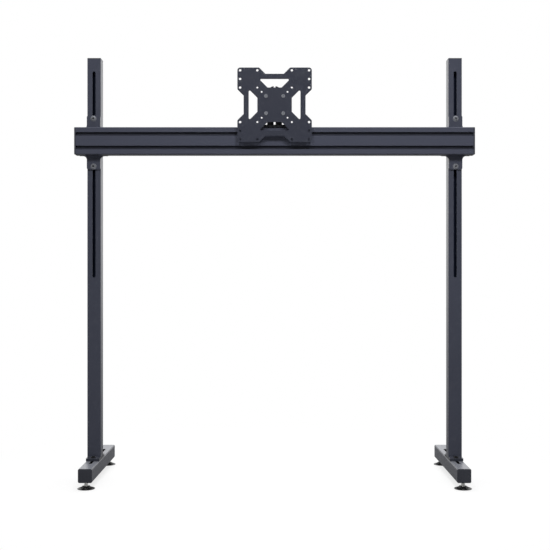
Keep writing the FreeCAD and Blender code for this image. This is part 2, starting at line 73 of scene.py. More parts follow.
def add_node(tree, kind, settings=None, inputs=None, output=0):
    """Adds a node: first its settings, then the values of its sockets, or one or more links."""
    made = tree.nodes.new(kind)
    for name, setting in (settings or {}).items():
        if name == "stops":
            for element, (position, grey) in zip(made.color_ramp.elements, setting):
                element.position = position
                element.color = (grey, grey, grey, 1)
        else:
            setattr(made, name, setting)
    for key, entry in (inputs or {}).items():
        for value in entry if isinstance(entry, list) else [entry]:
            if isinstance(value, Value):
                tree.links.new(value.socket, made.inputs[key])
            else:
                made.inputs[key].default_value = value
    return Value(tree, made.outputs[output]) if made.outputs else None


def new_finish(name, **constants):
    """A material with a Principled shader whose even values are set on its own sockets."""
    material = bpy.data.materials.new(name)
    material.use_nodes = True
    shader = material.node_tree.nodes["Principled BSDF"]
    for socket, value in constants.items():
        shader.inputs[socket.replace("_", " ")].default_value = value
    return material, material.node_tree, shader


def feed(shader, **values):
    """Links values to the shader's sockets."""
    for socket, value in values.items():
        value.tree.links.new(value.socket, shader.inputs[socket.replace("_", " ")])


def object_place(tree, stretch=None):
    """Object coordinates in metres, stretched for patterns that run one way."""
    place = add_node(tree, "ShaderNodeTexCoord", output=3)
    if stretch is None:
        return place
    return add_node(tree, "ShaderNodeMapping", {}, {"Vector": place, "Scale": stretch})


def on_axis(tree, vector, axis):
    """The part of a vector along X, Y or Z."""
    return add_node(tree, "ShaderNodeSeparateXYZ", {}, {0: vector}, output="XYZ".index(axis))


def noise(tree, place, per_metre, detail=2.0):
    """Cloudy noise between 0 and 1, mostly near the middle."""
    return add_node(tree, "ShaderNodeTexNoise", {},
                    {"Vector": place, "Scale": per_metre, "Detail": detail})


def mix_colours(tree, amount, first, second):
    """The first colour where the amount is 0, and the second where it is 1."""
    return add_node(tree, "ShaderNodeMix", {"data_type": "RGBA"},
                    {0: amount, 6: first, 7: second}, output=2)


def ramp(tree, value, low, high):
    """0 up to the low value and 1 from the high one."""
    return add_node(tree, "ShaderNodeValToRGB", {"stops": [(low, 0.0), (high, 1.0)]},
                    {"Fac": value})


def shade(colour, level):
    """A colour made darker or paler."""
    return tuple(part * level for part in colour[:3]) + (1,)


def soft_edges(tree, radius):
    """Normals that round sharp edges, and a mask that is 1 on those edges."""
    bevel = add_node(tree, "ShaderNodeBevel", {"samples": 6}, {"Radius": radius})
    flat = add_node(tree, "ShaderNodeNewGeometry", output=1)
    alike = add_node(tree, "ShaderNodeVectorMath", {"operation": "DOT_PRODUCT"},
                     {0: bevel, 1: flat}, output=1)
    return bevel, ramp(tree, 1 - alike, 0.02, 0.3)


def bumped(tree, height, depth, strength, normal):
    """Fine relief on top of a normal."""
    return add_node(tree, "ShaderNodeBump", {}, {
        "Height": height, "Distance": depth, "Strength": strength, "Normal": normal})


def inside_of(tree, place, spans):
    """1 inside a hollow, given by its middle and half size on some axes, and 0 on its outer faces."""
    inside = None
    for axis, (middle, half) in spans.items():
        along = on_axis(tree, place, axis)
        # The two sides of the stand mirror each other, so they share one span across.
        away = along.math("ABSOLUTE", along) if axis == "X" else along
        off = away - middle
        near = off.math("LESS_THAN", off.math("ABSOLUTE", off), half)
        inside = near if inside is None else inside * near
    return inside


def powder_coat(name, colour, hollow=None, top_dust_and_highlight=0.22):
    """Satin powder coat: fine orange peel, slow drift of tone, thin paint on edges, faint dust,
    a painted highlight on upward faces, and a given hollow painted near-black.
    """
    material, tree, shader = new_finish(name, IOR=1.6, Sheen_Weight=0.05, Sheen_Roughness=0.35)
    place = object_place(tree)
    drift = noise(tree, place, DRIFT_PER_METRE, 3.0)
    peel = noise(tree, place, 1 / PEEL, 3.0)
    speck = noise(tree, place, 6 / PEEL, 1.0)
    dust = ramp(tree, noise(tree, place, DUST_PER_METRE, 5.0), 0.55, 0.8)
    normal, edge = soft_edges(tree, COAT_EDGE)
    tone = mix_colours(tree, drift, shade(colour, 0.94), shade(colour, 1.08))
    worn = mix_colours(tree, edge * (0.3 + drift * 0.4), tone, shade(colour, 1.8))
    # Painted highlight: faces that look upwards are painted paler, as if lit from above, with a little
    # dust mixed in.
    facing = add_node(tree, "ShaderNodeNewGeometry", output=1)
    level = ramp(tree, on_axis(tree, facing, "Z"), 0.8, 0.98)
    dust_and_top_highlight = mix_colours(tree, dust * 0.02 + level * top_dust_and_highlight * (1 + dust * 0.5), worn, DUST_AND_HIGHLIGHT)
    # The inside of a given hollow is painted near-black: mill scale inside the tube, and painted shade
    # on the cut walls of its slots.
    if hollow:
        dust_and_top_highlight = mix_colours(tree, inside_of(tree, place, hollow), dust_and_top_highlight, MILL_SCALE_AND_SHADE)
    feed(shader, Base_Color=dust_and_top_highlight,
         Roughness=COAT_ROUGHNESS + drift * 0.04 + speck * 0.05 + dust * 0.05,
         Normal=bumped(tree, peel + speck * 0.3, PEEL_DEPTH, 0.35, normal))
    return material


def dress(material, *names):
    """Gives CAD nodes a finish."""
    for name in names:
        mesh = nodes[name].data
        mesh.materials.clear()
        mesh.materials.append(material)


def middle_of(low, high):
    """The middle of a box, from its corners."""
    return [(start + end) / 2 for start, end in zip(low, high)]


SIDES = {"left": -1, "right": 1}
ENDS = {"front": -1, "rear": 1}
BOTH_WAYS = (-1, 1)
SLATE = (0.042, 0.0455, 0.063, 1)
# Near-black for the inside of the tubes: mill scale, darkened further as painted shade.
MILL_SCALE_AND_SHADE = (0.006, 0.008, 0.016, 1)
DUST_AND_HIGHLIGHT = (0.40, 0.41, 0.43, 1)
COAT_ROUGHNESS = 0.24
COAT_EDGE = 0.0007
PEEL = 0.0012
PEEL_DEPTH = 0.00005
DRIFT_PER_METRE = 9.0
DUST_PER_METRE = 60.0
# The dark inside reaches almost to the outer faces, so the cut walls of the slots are painted in shade
# too.
TUBE_INSIDE_AND_SLOT_WALLS = 0.0193
STANCE = 0.538
slate_coat = powder_coat("slate_powder_coat", SLATE)
low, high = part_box("left_foot_tube")
foot_coat = powder_coat("foot_powder_coat", SLATE, {
    "X": (STANCE, TUBE_INSIDE_AND_SLOT_WALLS), "Z": (middle_of(low, high)[2], TUBE_INSIDE_AND_SLOT_WALLS)})
dress(foot_coat, *(f"{side}_foot_tube" for side in SIDES))


# Foot caps: moulded plastic plugs pushed into both ends of each foot, with softly rounded rims. Their
# faces have a fine grain from the mould, a little duller and darker than the paint.
def moulded_plastic(name, colour, grain_size, roughness):
    """Grained plastic, rubbed paler on its edges, with a few scuffs."""
    material, tree, shader = new_finish(name, IOR=1.5)
    place = object_place(tree)
    drift = noise(tree, place, PLASTIC_DRIFT_PER_METRE, 3.0)
    grain = noise(tree, place, 1 / grain_size, 2.0)
    scuff = ramp(tree, noise(tree, object_place(tree, SCUFF_STRETCH), 1.0, 4.0), 0.62, 0.8)
    normal, edge = soft_edges(tree, PLASTIC_EDGE)
    tone = mix_colours(tree, drift, shade(colour, 0.85), shade(colour, 1.15))
    rubbed = mix_colours(tree, edge * 0.5 + scuff * 0.15, tone, shade(colour, 1.9))
    feed(shader, Base_Color=rubbed, Roughness=roughness + grain * 0.1 + scuff * 0.08,
         Normal=bumped(tree, grain, GRAIN_DEPTH, 0.5, normal))
    return material


def skin(name, rings):
    """A mesh from rings of points, each joined to the next one, with caps on its ends."""
    count = len(rings[0])
    points = [point for ring in rings for point in ring]
    faces = []
    for row in range(len(rings) - 1):
        for step in range(count):
            after = (step + 1) % count
            faces.append((row * count + step, row * count + after,
                          (row + 1) * count + after, (row + 1) * count + step))
    faces.append(tuple(reversed(range(count))))
    faces.append(tuple(range((len(rings) - 1) * count, len(rings) * count)))
    mesh = bpy.data.meshes.new(name)
    mesh.from_pydata(points, [], faces)
    mesh.update()
    return mesh


def smooth(mesh, degrees=32):
    """Smooth shading that keeps edges sharper than the given angle."""
    mesh.shade_smooth()
    mesh.set_sharp_from_angle(angle=math.radians(degrees))


def new_piece(name, mesh, material, body):
    """A finished piece of the object, carried by a body."""
    smooth(mesh)
    mesh.materials.clear()
    mesh.materials.append(material)
    piece = bpy.data.objects.new(name, mesh)
    bpy.context.collection.objects.link(piece)
    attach(piece, body)
    return piece


def rounded_outline(half_u, half_v, corner, steps=6):
    """Points of a rectangle with round corners, anticlockwise."""
    points = []
    for quarter, (sign_u, sign_v) in enumerate(((1, 1), (-1, 1), (-1, -1), (1, -1))):
        for step in range(steps + 1):
            angle = math.radians(90 * (quarter + step / steps))
            points.append((sign_u * (half_u - corner) + corner * math.cos(angle),
                           sign_v * (half_v - corner) + corner * math.sin(angle)))
    return points


def moulded_cap(name, low, high, plate, axis, outward, corner, rim, crown):
    """The outer plate of a cap: square at the tube, with a rounded rim and a slightly crowned face."""
    low, high = Vector(low), Vector(high)
    if outward > 0:
        low[axis] = high[axis] - plate
    else:
        high[axis] = low[axis] + plate
    middle, half = (low + high) / 2, (high - low) / 2
    u_axis, v_axis = (other for other in range(3) if other != axis)
    depth = plate - crown
    levels = [(0.0, 0.0), (0.0, depth - rim)]
    for step in range(1, RIM_STEPS + 1):
        angle = math.radians(90 * step / RIM_STEPS)
        levels.append((rim * (1 - math.cos(angle)), depth - rim * (1 - math.sin(angle))))
    reach = min(half[u_axis], half[v_axis])
    for share in CROWN_STEPS:
        levels.append((rim + (reach - rim) * share, depth + crown * (1 - (1 - share) ** 2)))
    rings = []
    for inset, height in levels:
        ring = []
        for u, v in rounded_outline(half[u_axis] - inset, half[v_axis] - inset,
                                    max(corner - inset, LEAST_CORNER)):
            point = Vector()
            point[u_axis] = middle[u_axis] + u
            point[v_axis] = middle[v_axis] + v
            point[axis] = (low[axis] + height) if outward > 0 else (high[axis] - height)
            ring.append(point)
        rings.append(ring)
    flipped = (outward > 0) == (axis == 1)
    return skin(name, [list(reversed(ring)) for ring in rings] if flipped else rings)


PLASTIC_DRIFT_PER_METRE = 22.0
PLASTIC_EDGE = 0.0006
SCUFF_STRETCH = (900, 900, 120)
GRAIN_DEPTH = 0.00008
RIM_STEPS = 4
CROWN_STEPS = (0.2, 0.5, 0.85)
LEAST_CORNER = 0.0004
CAP_PLATE = 0.003
CAP_CROWN = 0.0002
FOOT_CORNER = 0.004
FOOT_CAP_RIM = 0.0012
cap_plastic = moulded_plastic("grained_cap_plastic", (0.033, 0.035, 0.044, 1), 0.0007, 0.34)
for side in SIDES:
    for end, sign in ENDS.items():
        low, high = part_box(f"{side}_foot_{end}_cap")
        mesh = moulded_cap(f"{side}_foot_{end}_cap", low, high, CAP_PLATE, 1, sign,
                           FOOT_CORNER, FOOT_CAP_RIM, CAP_CROWN)
        cap = new_piece(f"{side}_foot_{end}_moulded_cap", mesh, cap_plastic, "frame")
        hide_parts(f"{side}_foot_{end}_cap")


# Levelling studs: zinc-plated M10 studs with a rolled thread and a flared neck, screwed into pressed
# inserts in the underside of each foot.
def zinc_plate(name, colour, roughness, metallic):
    """Plated steel: cloudy tone, fine turning lines round the axis, painted shade in any key socket.
    """
    material, tree, shader = new_finish(name, Metallic=metallic)
    place = object_place(tree)
    turning = noise(tree, object_place(tree, TURNING_STRETCH), 1.0, 2.0)
    cloud = noise(tree, place, CLOUDS_PER_METRE, 3.0)
    stain = ramp(tree, noise(tree, place, STAINS_PER_METRE, 4.0), 0.5, 0.75)
    normal = soft_edges(tree, ZINC_EDGE)[0]
    tone = mix_colours(tree, cloud, shade(colour, 0.75), colour)
    stained = mix_colours(tree, stain * 0.25, tone, shade(colour, 0.5))
    # Painted shade: the marked points of a key socket, and a ring round it, are painted nearly black.
    socket_shade = add_node(tree, "ShaderNodeAttribute", {"attribute_name": "socket_shade"}, output=2)
    feed(shader, Base_Color=mix_colours(tree, socket_shade, stained, shade(colour, 0.06)),
         Roughness=roughness + cloud * 0.1 + turning * 0.06 + stain * 0.1,
         Normal=bumped(tree, turning, TURNING_DEPTH, 0.35, normal))
    return material


def lathe(profile, centre, segments=48):
    """Rings of points round an upright axis, from (radius, height) steps."""
    turns = [math.tau * step / segments for step in range(segments)]
    return [[Vector((centre[0] + radius * math.cos(turn), centre[1] + radius * math.sin(turn),
                     centre[2] + height)) for turn in turns]
            for radius, height in profile]


def new_tree(name, **sockets):
    """A Geometry Nodes tree with named inputs and one geometry output."""
    tree = bpy.data.node_groups.new(name, "GeometryNodeTree")
    kinds = {"geometry": "NodeSocketGeometry", "object": "NodeSocketObject",
             "material": "NodeSocketMaterial", "number": "NodeSocketFloat",
             "count": "NodeSocketInt", "vector": "NodeSocketVector"}
    for label, kind in sockets.items():
        tree.interface.new_socket(label, in_out="INPUT", socket_type=kinds[kind])
    tree.interface.new_socket("Result", in_out="OUTPUT", socket_type="NodeSocketGeometry")
    entry = tree.nodes.new("NodeGroupInput")
    return tree, {label: Value(tree, entry.outputs[label]) for label in sockets}


def end_tree(tree, geometry, finish):
    """Closes a tree: real meshes in place of copies, with their finish."""
    real = add_node(tree, "GeometryNodeRealizeInstances", {}, {"Geometry": geometry})
    coated = add_node(tree, "GeometryNodeSetMaterial", {}, {"Geometry": real, "Material": finish})
    add_node(tree, "NodeGroupOutput", {}, {0: coated})


def grown(name, mesh, tree, **inputs):
    """The plain mesh that a node tree makes from a starting mesh and its named inputs."""
    holder = bpy.data.objects.new(name, mesh)
    bpy.context.collection.objects.link(holder)
    modifier = holder.modifiers.new(name, "NODES")
    modifier.node_group = tree
    identifiers = {item.name: item.identifier for item in tree.interface.items_tree
                   if item.in_out == "INPUT"}
    for label, value in inputs.items():
        modifier[identifiers[label]] = value
    ready = bpy.context.evaluated_depsgraph_get()
    result = bpy.data.meshes.new_from_object(holder.evaluated_get(ready), depsgraph=ready)
    bpy.data.objects.remove(holder)
    return result


def thread_tree():
    """Winds a sharp ridge round an upright core."""
    tree, given = new_tree("rolled_thread", Core="geometry", Centre="vector", Radius="number",
                           Height="number", Turns="number", Ridge="number", Finish="material")
    helix = add_node(tree, "GeometryNodeCurveSpiral", {}, {
        "Resolution": 28, "Rotations": given["Turns"], "Start Radius": given["Radius"],
        "End Radius": given["Radius"], "Height": given["Height"]})
    upright = add_node(tree, "GeometryNodeSetCurveNormal", {"mode": "Z_UP"}, {"Curve": helix})
    section = add_node(tree, "GeometryNodeCurvePrimitiveCircle", {}, {
        "Resolution": 4, "Radius": given["Ridge"]})
    ridge = add_node(tree, "GeometryNodeCurveToMesh", {}, {
        "Curve": upright, "Profile Curve": section, "Fill Caps": True})
    placed = add_node(tree, "GeometryNodeTransform", {}, {
        "Geometry": ridge, "Translation": given["Centre"]})
    both = add_node(tree, "GeometryNodeJoinGeometry", {}, {0: [placed, given["Core"]]})
    end_tree(tree, both, given["Finish"])
    return tree


ZINC_EDGE = 0.0003
CLOUDS_PER_METRE = 160.0
STAINS_PER_METRE = 420.0
TURNING_STRETCH = (30, 30, 4000)
TURNING_DEPTH = 0.00002
STUD_RADIUS = 0.005
STUD_POINT = 0.0008
THREAD_PITCH = 0.0015
THREAD_RIDGE = 0.0006
THREAD_START = 0.001
THREAD_ENDS = 0.003
NECK_RADIUS = 0.0072
NECK_HEIGHT = 0.0064
NECK_LIP = 0.0003
NECK_UNDERCUT = 0.0005
NECK_STEPS = (0.0, 0.15, 0.3, 0.5, 0.75, 1.0)
PAD_TOP = 0.0086
bright_zinc = zinc_plate("bright_zinc", (0.95, 0.95, 0.92, 1), 0.34, 0.1)
dress(bright_zinc, *(f"{side}_foot_inserts" for side in SIDES))
rolled_thread = thread_tree()
core = STUD_RADIUS - THREAD_RIDGE
flare = NECK_RADIUS - STUD_RADIUS
neck_top = PAD_TOP + NECK_HEIGHT
for side in SIDES:
    for end in ENDS:
        low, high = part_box(f"{side}_{end}_stud")
        x, y, _ = middle_of(low, high)
        profile = [(core, low[2]), (core, PAD_TOP - NECK_UNDERCUT),
                   (NECK_RADIUS - NECK_LIP, PAD_TOP)]
        profile += [(STUD_RADIUS + flare * (1 - share) ** 2,
                     PAD_TOP + NECK_LIP + (NECK_HEIGHT - NECK_LIP) * share)
                    for share in NECK_STEPS]
        profile += [(core, neck_top + NECK_LIP), (core, high[2] - STUD_POINT),
                    (core - STUD_POINT, high[2])]
        body = skin(f"{side}_{end}_core", lathe(profile, (x, y, 0)))
        run = high[2] - neck_top - THREAD_ENDS
        mesh = grown("stud_thread", body, rolled_thread, Centre=(x, y, neck_top + THREAD_START),
                     Radius=core, Height=run, Turns=run / THREAD_PITCH, Ridge=THREAD_RIDGE,
                     Finish=bright_zinc)
        stud = new_piece(f"{side}_{end}_threaded_stud", mesh, bright_zinc,
                         f"{side}_{end}_leveller")
        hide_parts(f"{side}_{end}_stud")


# Levelling pads: round pads moulded in black nylon, with a thin rim, a dished top stiffened by ribs
# and a collar that the stud snaps into.
def rib_tree():
    """Sets a rib on the top of a pad and repeats it round the axis."""
    tree, given = new_tree("pad_ribs", Pad="geometry", Rib="object", Centre="vector", Count="count",
                           Radius="number", Finish="material")
    circle = add_node(tree, "GeometryNodeMeshCircle", {}, {
        "Vertices": given["Count"], "Radius": given["Radius"]})
    rib = add_node(tree, "GeometryNodeObjectInfo", {}, {"Object": given["Rib"]}, output=4)
    outward = add_node(tree, "GeometryNodeInputPosition")
    facing = add_node(tree, "FunctionNodeAlignRotationToVector", {"axis": "X", "pivot_axis": "Z"},
                      {"Vector": outward})
    ribs = add_node(tree, "GeometryNodeInstanceOnPoints", {}, {
        "Points": circle, "Instance": rib, "Rotation": facing})
    placed = add_node(tree, "GeometryNodeTransform", {}, {
        "Geometry": ribs, "Translation": given["Centre"]})
    both = add_node(tree, "GeometryNodeJoinGeometry", {}, {0: [placed, given["Pad"]]})
    end_tree(tree, both, given["Finish"])
    return tree


# Steps of the pad are radius and height. Steps of a rib are radius, foot and top.
PAD_PROFILE = [(0.0238, 0.0), (0.0246, 0.0002), (0.025, 0.0006), (0.025, 0.0013), (0.0247, 0.0017),
               (0.0238, 0.0020), (0.0195, 0.0028), (0.0155, 0.0040), (0.0130, 0.0053),
               (0.0118, 0.0066), (0.0115, 0.0078), (0.0111, 0.0084), (0.0104, PAD_TOP),
               (0.0079, PAD_TOP), (0.0076, 0.0084), (0.0074, 0.0065)]
RIB_STEPS = [(0.0116, 0.0060, 0.0074), (0.0135, 0.0044, 0.0058), (0.0180, 0.0026, 0.0037),
             (0.0225, 0.0015, 0.0022)]
RIB_COUNT = 16
RIB_HALF = 0.0006
RIB_TOP_HALF = RIB_HALF * 0.6
# The ribs start from a tiny ring, which only tells each of them which way is outward.
RIB_RING = 0.00001
PAD_SEGMENTS = 64
pad_nylon = moulded_plastic("black_pad_nylon", (0.012, 0.012, 0.013, 1), 0.0009, 0.18)
rib_rings = [[Vector((radius, -RIB_HALF, foot)), Vector((radius, RIB_HALF, foot)),
              Vector((radius, RIB_TOP_HALF, top)), Vector((radius, -RIB_TOP_HALF, top))]
             for radius, foot, top in RIB_STEPS]
rib_form = bpy.data.objects.new("pad_rib", skin("pad_rib", rib_rings))
pad_ribs = rib_tree()
for side in SIDES:
    for end in ENDS:
        low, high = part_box(f"{side}_{end}_pad")
        x, y, _ = middle_of(low, high)
        centre = (x, y, low[2])
        dish = skin(f"{side}_{end}_dish", lathe(PAD_PROFILE, centre, PAD_SEGMENTS))
        mesh = grown("ribbed_pad", dish, pad_ribs, Rib=rib_form, Centre=centre, Count=RIB_COUNT,
                     Radius=RIB_RING, Finish=pad_nylon)
        pad = new_piece(f"{side}_{end}_ribbed_pad", mesh, pad_nylon,
                        f"{side}_{end}_leveller")
        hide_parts(f"{side}_{end}_pad")
bpy.data.objects.remove(rib_form)


# Uprights and base plates: the same coated tube, slotted down its front wall for the bar's bolts, and
# welded front and back to a plate that is bolted to the foot. The bead is coated with the rest.
def weld_tree():
    """A row of overlapping ripples along straight seams."""
    tree, given = new_tree("weld_ripples", Seams="geometry", Spacing="number", Ripple="number",
                           Seed="count", Finish="material")
    path = add_node(tree, "GeometryNodeMeshToCurve", {}, {"Mesh": given["Seams"]})
    steps = add_node(tree, "GeometryNodeResampleCurve", {"mode": "LENGTH"}, {
        "Curve": path, "Length": given["Spacing"]})
    ball = add_node(tree, "GeometryNodeMeshUVSphere", {}, {
        "Segments": 14, "Rings": 8, "Radius": given["Ripple"]})
    size = add_node(tree, "FunctionNodeRandomValue", {"data_type": "FLOAT"}, {
        2: 0.85, 3: 1.1, "Seed": given["Seed"]}, output=1)
    ripples = add_node(tree, "GeometryNodeInstanceOnPoints", {}, {
        "Points": steps, "Instance": ball, "Scale": size})
    end_tree(tree, ripples, given["Finish"])
    return tree


def weld_bead(name, runs, finish, spacing, ripple, seed):
    """The mesh of a weld along straight runs, each from one point to another."""
    lines = bpy.data.meshes.new(name)
    lines.from_pydata([point for run in runs for point in run],
                      [(2 * row, 2 * row + 1) for row in range(len(runs))], [])
    return grown(name, lines, weld_ripples, Spacing=spacing, Ripple=ripple, Seed=seed,
                 Finish=finish)


UPRIGHT_CORNER = 0.0012
UPRIGHT_WELD_STEP = 0.0012
UPRIGHT_WELD_RIPPLE = 0.0013
weld_ripples = weld_tree()
low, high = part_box("left_upright")
upright_coat = powder_coat("upright_powder_coat", SLATE, {
    "X": (STANCE, TUBE_INSIDE_AND_SLOT_WALLS), "Y": (middle_of(low, high)[1], TUBE_INSIDE_AND_SLOT_WALLS)})
dress(upright_coat, *(f"{side}_upright" for side in SIDES))
# Painted shade: the base plates are coated darker than the uprights, for the shade at each upright's
# foot, and take little of the painted highlight on top.
base_shade_coat = powder_coat("base_plate_painted_shade_coat", shade(SLATE, 0.6), top_dust_and_highlight=0.02)
dress(base_shade_coat, *(f"{side}_base_plate" for side in SIDES))
runs = []
for side in SIDES:
    low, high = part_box(f"{side}_upright")
    for y in (low[1], high[1]):
        runs.append([(low[0] + UPRIGHT_CORNER, y, low[2]), (high[0] - UPRIGHT_CORNER, y, low[2])])
bead = weld_bead("upright_weld", runs, slate_coat, UPRIGHT_WELD_STEP, UPRIGHT_WELD_RIPPLE, 3)
new_piece("upright_foot_welds", bead, slate_coat, "frame")

# Upright caps: the same moulded plastic plugs, pushed into the tops of the uprights. Their rims are
# tighter than those of the foot caps, to suit the tube's sharper corners.
UPRIGHT_CAP_RIM = 0.0007
for side in SIDES:
    low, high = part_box(f"{side}_upright_cap")
    mesh = moulded_cap(f"{side}_upright_cap", low, high, CAP_PLATE, 2, 1,
                       UPRIGHT_CORNER, UPRIGHT_CAP_RIM, CAP_CROWN)
    cap = new_piece(f"{side}_upright_moulded_cap", mesh, cap_plastic, "frame")
    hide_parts(f"{side}_upright_cap")


# Base bolts: two button-head M8 bolts hold each base plate to a nut in the foot's slot. The heads are
# domed, with a hexagon socket, blackened, and each has stopped at its own angle.
def heads_tree():
    """Puts a copy of one head on every seat, facing outwards, each turned a little differently."""
    tree, given = new_tree("bolt_heads", Seats="geometry", Head="object", Facing="vector",
                           Seed="count", Finish="material")
    head = add_node(tree, "GeometryNodeObjectInfo", {}, {"Object": given["Head"]}, output=4)
    placed = add_node(tree, "GeometryNodeInstanceOnPoints", {}, {
        "Points": given["Seats"], "Instance": head, "Rotation": given["Facing"]})
    twist = add_node(tree, "FunctionNodeRandomValue", {"data_type": "FLOAT"}, {
        2: 0.0, 3: 1.05, "Seed": given["Seed"]}, output=1)
    turn = add_node(tree, "ShaderNodeCombineXYZ", {}, {"Z": twist})
    turned = add_node(tree, "GeometryNodeRotateInstances", {}, {
        "Instances": placed, "Rotation": turn})
    end_tree(tree, turned, given["Finish"])
    return tree


def button_head(name, radius, height, top, socket, depth, socket_shade, shade_reach=1.12, flange=None):
    """A domed head, plain or flanged. Its hexagon socket, and a ring of the flat top round it, are
    painted dark as shade.
    """
    half_side = math.pi / 6

    def ring(reach, level, six_sided=False):
        points = []
        for step in range(HEAD_SEGMENTS):
            angle = math.tau * step / HEAD_SEGMENTS
            near = reach
            if six_sided:
                off = (angle + half_side) % (2 * half_side) - half_side
                near = reach * math.cos(half_side) / math.cos(half_side - abs(off))
            points.append((near * math.cos(angle), near * math.sin(angle), level))
        return points

    if flange:
        rim = 0.25 * height
        rings = [ring(flange * EASED, 0.0), ring(flange, rim * 0.3), ring(flange, rim * 0.7),
                 ring(radius * 1.02, rim)]
    else:
        rim = 0.1 * height
        rings = [ring(radius * EASED, 0.0), ring(radius, rim * 0.4), ring(radius, rim)]
    for share in DOME_STEPS:
        angle = math.radians(90 * share)
        rings.append(ring(top + (radius - top) * math.cos(angle),
                          rim + (height - rim) * math.sin(angle)))
    rings += [ring(top * 0.97, height), ring(socket * shade_reach, height)]
    unshaded_count = len(rings) * HEAD_SEGMENTS
    # From here on the points are painted in shade: a ring of the flat top, and the socket.
    rings += [ring(socket * (shade_reach - SOCKET_SHADE_EDGE), height),
              ring(socket, height - SOCKET_LIP, True), ring(socket, height - depth, True)]
    rings += [ring(socket * share, height - depth - deeper) for share, deeper in DRILL_POINT]
    mesh = skin(name, rings)
    socket_shaded = mesh.attributes.new("socket_shade", "FLOAT", "POINT")
    shaded_count = len(rings) * HEAD_SEGMENTS - unshaded_count
    socket_shaded.data.foreach_set("value", [0.0] * unshaded_count + [socket_shade] * shaded_count)
    return bpy.data.objects.new(name, mesh)


def set_heads(name, form, finish, seats, facing, body, seed):
    """Domed heads on a row of seats, as one piece."""
    points = bpy.data.meshes.new(name)
    points.from_pydata(seats, [], [])
    mesh = grown(name, points, bolt_heads, Head=form, Facing=facing, Seed=seed, Finish=finish)
    new_piece(name, mesh, finish, body)


FACING_UP = (0.0, 0.0, 0.0)
FACING_FRONT = (math.radians(90), 0.0, 0.0)
FACING_BACK = (math.radians(-90), 0.0, 0.0)
# The heads stand clear of the faces that they sit on by this much, so that the two don't flicker.
LIFT = 0.00004
HEAD_SEGMENTS = 48
EASED = 0.985
DOME_STEPS = (0.2, 0.4, 0.6, 0.8, 0.93)
SOCKET_SHADE_EDGE = 0.06
SOCKET_LIP = 0.00002
# The drilled bottom of a socket: shares of its radius, and how much deeper each lies.
DRILL_POINT = ((0.5, 0.0003), (0.05, 0.0007))
M8_FORM = {"radius": 0.00705, "height": 0.0044 + LIFT, "top": 0.0047,
           "socket": 0.0025, "depth": 0.0018}
BASE_BOLT_Y = 0.033
bolt_heads = heads_tree()
grey_zinc = zinc_plate("grey_zinc", (0.23, 0.24, 0.265, 1), 0.45, 0.35)
black_oxide = zinc_plate("black_oxide", (0.02, 0.02, 0.022, 1), 0.35, 0.5)
m8_head = button_head("m8_head", **M8_FORM, socket_shade=1.0)
dress(black_oxide, *(f"{side}_base_bolts" for side in SIDES))
low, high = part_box("left_base_plate")
base_middle = middle_of(low, high)[1]
base_seats = [(sign * STANCE, base_middle + end * BASE_BOLT_Y, high[2] + LIFT)
              for sign in SIDES.values() for end in ENDS.values()]
set_heads("base_bolt_heads", m8_head, black_oxide, base_seats, FACING_UP, "frame", 1)


# Crossbar: an 80 x 40 mm aluminium T-slot extrusion, cut to length and anodised dark grey. Fine lines
# from the die run along it, and the insides of its grooves are painted darker as shade.
def dark_anodised(name, colour, hollow):
    """Anodised extrusion: fine lines and faint streaks along the bar, brighter edges, and painted
    shade inside the grooves.
    """
    material, tree, shader = new_finish(name, IOR=1.6)
    place = object_place(tree)
    drift = noise(tree, place, BAR_DRIFT_PER_METRE, 2.0)
    lines = noise(tree, object_place(tree, DIE_LINE_STRETCH), 1.0, 3.0)
    streak = ramp(tree, noise(tree, object_place(tree, STREAK_STRETCH), 1.0, 3.0), 0.4, 0.7)
    normal, edge = soft_edges(tree, BAR_EDGE)
    tone = mix_colours(tree, drift * 0.5 + lines * 0.5, shade(colour, 0.92), shade(colour, 1.06))
    bright = mix_colours(tree, edge * 0.2 + streak * 0.05, tone, shade(colour, 1.9))
    # Painted shade: the insides of the grooves are painted darker.
    painted_groove_shade = mix_colours(tree, inside_of(tree, place, hollow), bright, shade(colour, 0.5))
    feed(shader, Base_Color=painted_groove_shade, Roughness=BAR_ROUGHNESS + lines * 0.08 + streak * 0.04,
         Normal=bumped(tree, lines, DIE_LINE_DEPTH, 0.35, normal))
    return material


BAR_ROUGHNESS = 0.25
BAR_EDGE = 0.0004
BAR_DRIFT_PER_METRE = 4.0
DIE_LINE_STRETCH = (5, 2600, 2600)
DIE_LINE_DEPTH = 0.00003
STREAK_STRETCH = (3, 300, 300)
BAR_SKIN = 0.001
bar_low, bar_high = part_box("crossbar")
bar_centre = middle_of(bar_low, bar_high)
bar_anodising = dark_anodised("dark_anodised_bar", (0.0445, 0.048, 0.067, 1), {
    axis: (bar_centre[index], (bar_high[index] - bar_low[index]) / 2 - BAR_SKIN)
    for axis, index in (("Y", 1), ("Z", 2))})
dress(bar_anodising, "crossbar")

# Crossbar caps: moulded plastic plates that close both ends of the bar, with rounded rims. Pegs on
# their backs are pressed into the bar's screw bores.
BAR_CAP_PLATE = 0.005
BAR_CORNER = 0.003
BAR_CAP_RIM = 0.0014
BAR_CAP_CROWN = 0.0003
for side, sign in SIDES.items():
    low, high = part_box(f"crossbar_{side}_cap")
    mesh = moulded_cap(f"crossbar_{side}_cap", low, high, BAR_CAP_PLATE, 0, sign,
                       BAR_CORNER, BAR_CAP_RIM, BAR_CAP_CROWN)
    cap = new_piece(f"crossbar_{side}_moulded_cap", mesh, cap_plastic, "crossbar")
    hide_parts(f"crossbar_{side}_cap")

